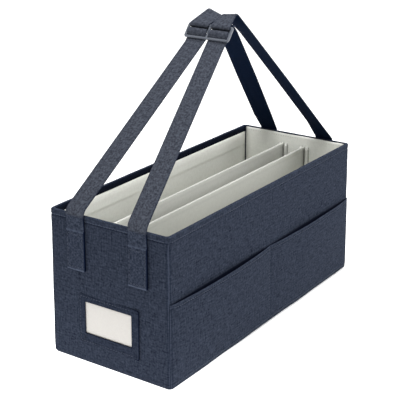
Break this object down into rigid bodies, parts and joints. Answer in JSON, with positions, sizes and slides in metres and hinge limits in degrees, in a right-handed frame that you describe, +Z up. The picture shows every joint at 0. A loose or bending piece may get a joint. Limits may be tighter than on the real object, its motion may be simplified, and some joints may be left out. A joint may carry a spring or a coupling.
{
  "type": "fabric storage organizer",
  "caption": "Long open storage box of dark woven cloth over board, with grey lining, lift-out dividers, a side pocket, a label holder and a webbing carrying handle.",
  "frame": {"origin": "centre of the underside of the base", "axes": "+X along the box away from the label end, +Y across it away from the pocket, +Z up"},
  "size_m": [0.4033, 0.166, 0.3638],
  "materials": {
    "cover_cloth": "dark slate navy woven cloth with a fine mottled weave",
    "lining_cloth": "light warm grey smooth lining cloth",
    "webbing": "dark grey navy webbing, close ribbed weave",
    "greyboard": "plain grey fibre board",
    "label_card": "blank off-white paper card",
    "slider_plastic": "moulded slate grey plastic, satin"
  },
  "bodies": {
    "box": {"left_end_cover": "cover_cloth", "left_end_board": "greyboard", "right_end_cover": "cover_cloth", "right_end_board": "greyboard", "front_cover": "cover_cloth", "front_board": "greyboard", "back_cover": "cover_cloth", "back_board": "greyboard", "base_cover": "cover_cloth", "base_board": "greyboard", "left_end_lining": "lining_cloth", "right_end_lining": "lining_cloth", "front_lining": "lining_cloth", "back_lining": "lining_cloth", "floor_lining": "lining_cloth", "pocket_panel": "cover_cloth", "label_holder": "cover_cloth", "left_channel_ribs": "lining_cloth", "right_channel_ribs": "lining_cloth", "left_front_strap_tab": "webbing", "left_back_strap_tab": "webbing", "right_front_strap_tab": "webbing", "right_back_strap_tab": "webbing", "left_front_strap_leg": "webbing", "left_back_strap_leg": "webbing", "right_front_strap_leg": "webbing", "right_back_strap_leg": "webbing"},
    "grip": {"strap_slider": "slider_plastic", "front_strap_loop": "webbing", "front_grip_strap": "webbing", "back_strap_loop": "webbing", "back_grip_strap": "webbing"},
    "front_divider": {"front_divider_core": "greyboard", "front_divider_sleeve": "lining_cloth"},
    "back_divider": {"back_divider_core": "greyboard", "back_divider_sleeve": "lining_cloth"},
    "label_card": {"label_card": "label_card"}
  },
  "joints": [
    {"name": "handle_drop", "type": "slide", "parent": "box", "child": "grip", "axis": [0, 0, 1], "range_m": [-0.075, 0], "deforming": ["left_front_strap_leg", "left_back_strap_leg", "right_front_strap_leg", "right_back_strap_leg"]},
    {"name": "front_divider_lift", "type": "slide", "parent": "box", "child": "front_divider", "axis": [0, 0, 1], "range_m": [0, 0.075]},
    {"name": "back_divider_lift", "type": "slide", "parent": "box", "child": "back_divider", "axis": [0, 0, 1], "range_m": [0, 0.075]},
    {"name": "label_card_slide", "type": "slide", "parent": "box", "child": "label_card", "axis": [0, -1, 0], "range_m": [0, 0.07]}
  ]
}
